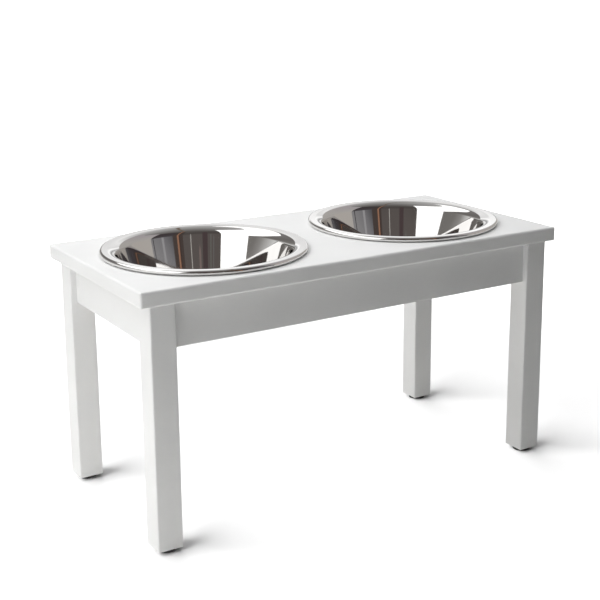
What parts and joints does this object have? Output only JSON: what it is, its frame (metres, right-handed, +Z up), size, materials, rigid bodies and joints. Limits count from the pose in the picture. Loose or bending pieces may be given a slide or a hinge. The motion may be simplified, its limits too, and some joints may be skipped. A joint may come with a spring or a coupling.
{
  "type": "elevated pet feeder",
  "caption": "Low rectangular wooden table with square legs and recessed aprons that holds drop-in steel bowls at a dog's head height.",
  "frame": {"origin": "on the floor, under the middle of the table", "axes": "+X along the table's length, to the right as seen from the front; +Y to the back; +Z up"},
  "size_m": [0.61, 0.286, 0.3264],
  "materials": {
    "white_paint": "white satin paint over smooth wood",
    "bare_wood": "bare planed hardwood",
    "polished_steel": "mirror-polished stainless steel, not plated",
    "zinc_steel": "bright zinc-plated steel",
    "glide_rubber": "matt black rubber"
  },
  "bodies": {
    "table": {"tabletop": "white_paint", "leg_front_left": "white_paint", "leg_front_right": "white_paint", "leg_rear_left": "white_paint", "leg_rear_right": "white_paint", "apron_front": "white_paint", "apron_rear": "white_paint", "apron_left": "white_paint", "apron_right": "white_paint", "corner_block_front_left": "bare_wood", "corner_block_front_right": "bare_wood", "corner_block_rear_left": "bare_wood", "corner_block_rear_right": "bare_wood", "glide_front_left": "glide_rubber", "glide_front_right": "glide_rubber", "glide_rear_left": "glide_rubber", "glide_rear_right": "glide_rubber", "dowels": "bare_wood", "hanger_bolts": "zinc_steel", "washers": "zinc_steel", "nuts": "zinc_steel", "block_screws": "zinc_steel", "top_screws": "zinc_steel", "glide_nails": "zinc_steel"},
    "left_bowl": {"bowl_left": "polished_steel"},
    "right_bowl": {"bowl_right": "polished_steel"}
  },
  "joints": [
    {"name": "left_bowl_lift", "type": "slide", "parent": "table", "child": "left_bowl", "axis": [0, 0, 1], "range_m": [0, 0.1]},
    {"name": "right_bowl_lift", "type": "slide", "parent": "table", "child": "right_bowl", "axis": [0, 0, 1], "range_m": [0, 0.1]}
  ]
}
